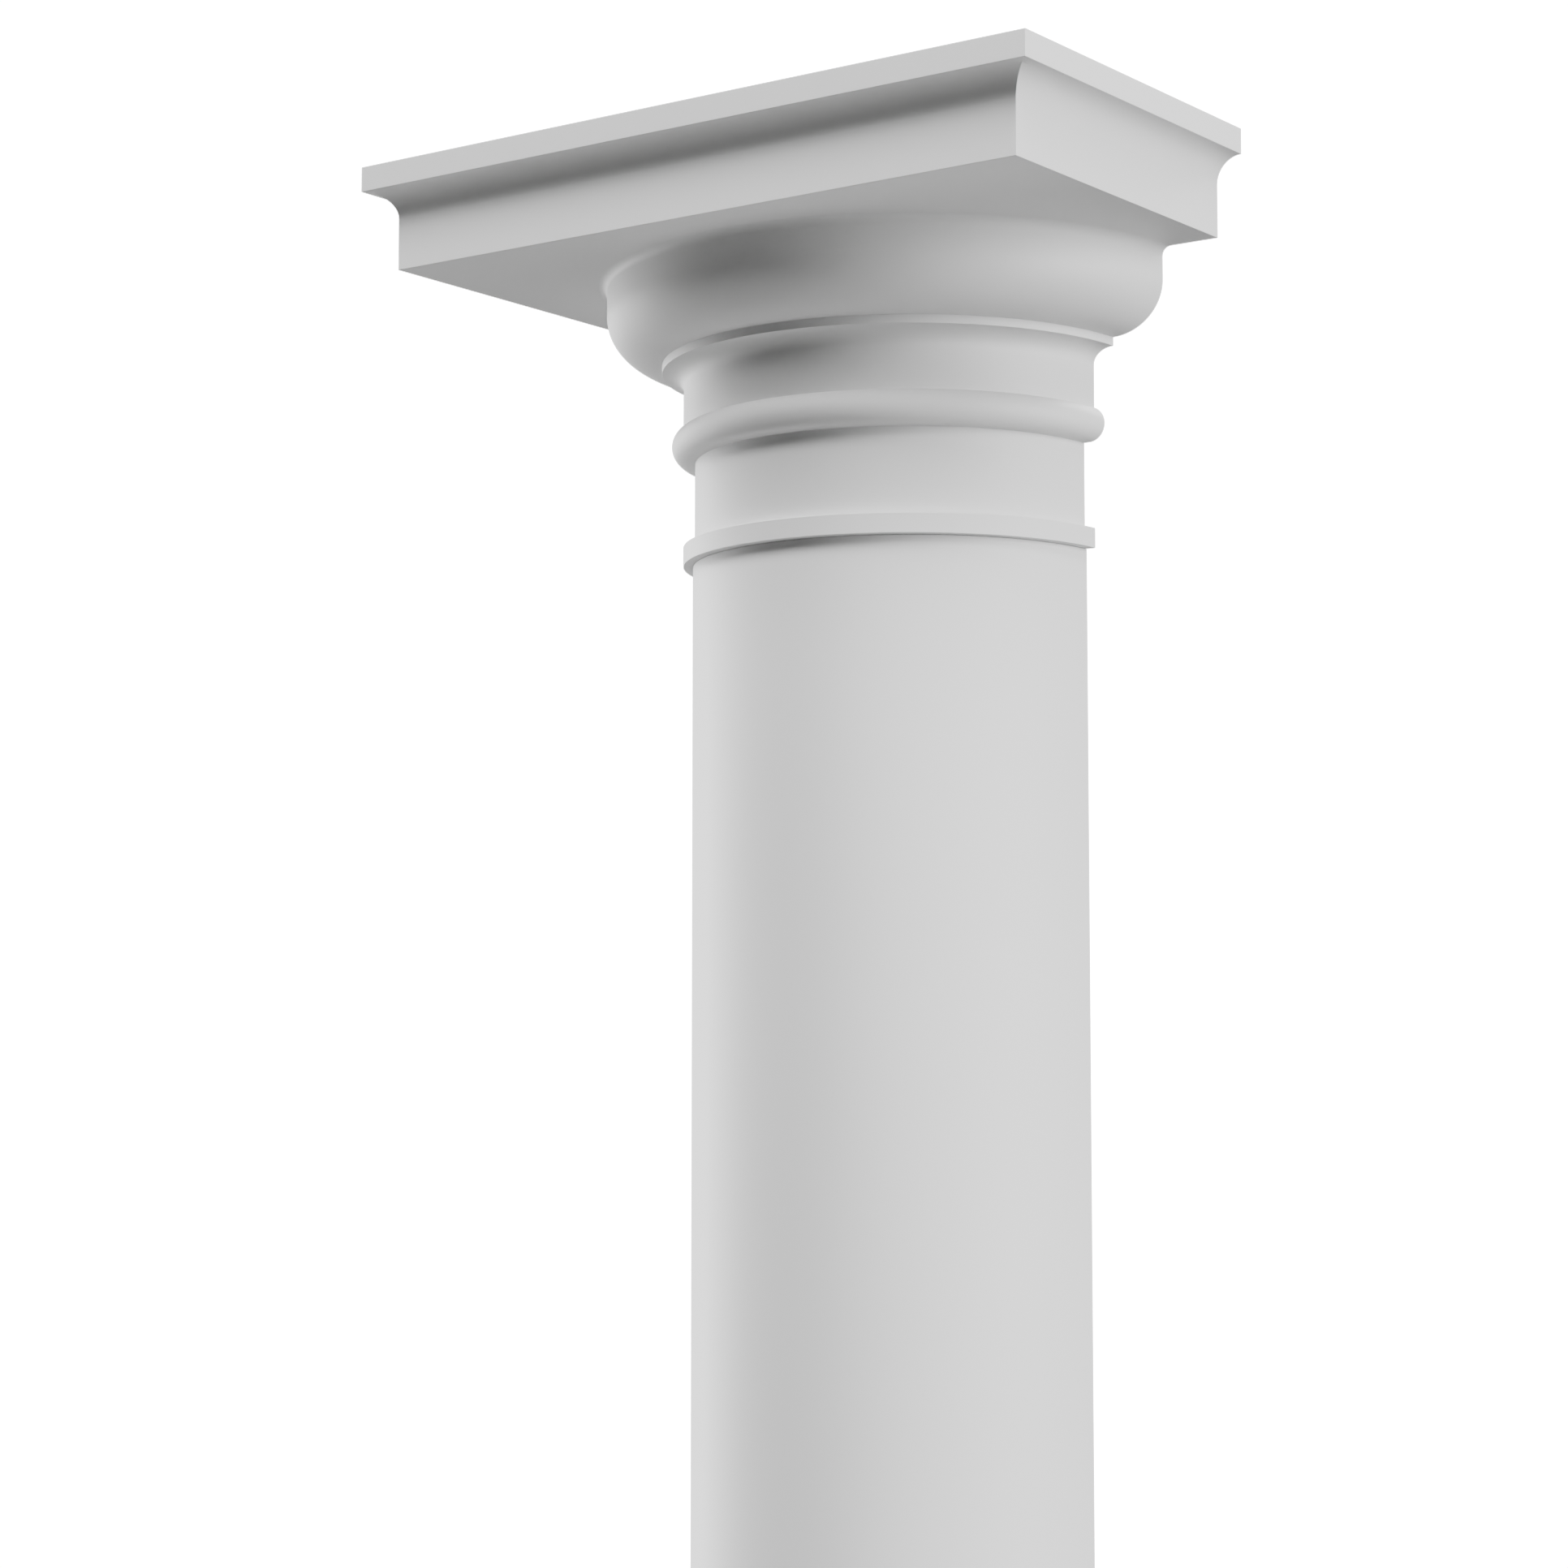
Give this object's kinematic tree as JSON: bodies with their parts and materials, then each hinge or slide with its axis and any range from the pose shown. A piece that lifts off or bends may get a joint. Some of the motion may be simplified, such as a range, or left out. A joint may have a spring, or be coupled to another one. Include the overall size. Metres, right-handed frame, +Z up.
{
  "type": "smooth doric half column",
  "caption": "Half-round Doric column with a flat back that stands against a wall: moulded square abacus, rounded echinus, beaded neck, plain shaft, torus base on a square plinth.",
  "frame": {"origin": "at floor level, under the middle of the column's outline in plan", "axes": "+Z up the column, -Y towards the room in front of the column, +Y into the wall behind its flat back, +X to the right as seen from the room"},
  "size_m": [0.5, 0.25, 2.2],
  "materials": {
    "painted_plaster": "smooth cast plaster under matt off-white paint"
  },
  "bodies": {
    "root": {"base": "painted_plaster", "shaft": "painted_plaster", "capital": "painted_plaster"}
  },
  "joints": []
}
